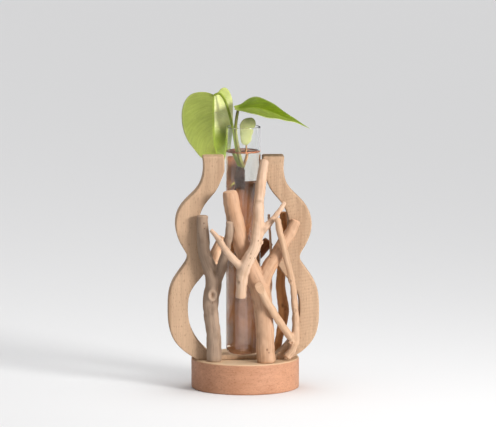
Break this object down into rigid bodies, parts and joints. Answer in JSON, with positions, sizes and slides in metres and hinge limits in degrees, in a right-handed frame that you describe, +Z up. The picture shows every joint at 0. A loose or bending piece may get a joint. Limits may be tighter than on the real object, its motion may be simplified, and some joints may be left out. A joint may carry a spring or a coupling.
{
  "type": "propagation_vase",
  "caption": "Propagation vase: gourd-shaped wooden board and driftwood sticks on a round disc, holding a lift-out glass tube with a rooting plant cutting",
  "frame": {"origin": "Middle of the wooden disc's underside, the face the vase stands on", "axes": "+Z up along the glass tube, -Y towards the front where the forked sticks cross, +X to the viewer's right"},
  "size_m": [0.109, 0.0825, 0.2165],
  "materials": {
    "disc_wood": "sanded",
    "board_wood": "sawn",
    "grey_wood": "weathered",
    "tan_wood": "peeled",
    "cream_wood": "peeled",
    "pink_wood": "peeled",
    "brown_wood": "peeled",
    "tube_glass": "polished",
    "screw_steel": "zinc plated",
    "leaf_green": "satin",
    "stalk_green": "satin",
    "root_brown": "matte"
  },
  "bodies": {
    "stand": {"base_disc": "disc_wood", "gourd_frame": "board_wood", "frame_screws": "screw_steel", "grey_fork": "grey_wood", "main_fork": "tan_wood", "cream_fork": "cream_wood", "right_vee": "pink_wood", "rear_branch": "brown_wood", "rear_twig": "brown_wood", "rear_upright": "brown_wood", "rear_brace": "brown_wood"},
    "tube": {"test_tube": "tube_glass"},
    "cutting": {"cutting_stem": "root_brown", "root_tip": "root_brown", "large_petiole": "stalk_green", "right_petiole": "stalk_green", "small_petiole": "stalk_green", "large_leaf": "leaf_green", "right_leaf": "leaf_green", "small_leaf": "leaf_green"}
  },
  "joints": [
    {"name": "tube_lift", "type": "slide", "parent": "stand", "child": "tube", "axis": [0, 0, 1], "range_m": [0, 0.15]},
    {"name": "cutting_lift", "type": "slide", "parent": "tube", "child": "cutting", "axis": [0, 0, 1], "range_m": [0, 0.055]}
  ]
}
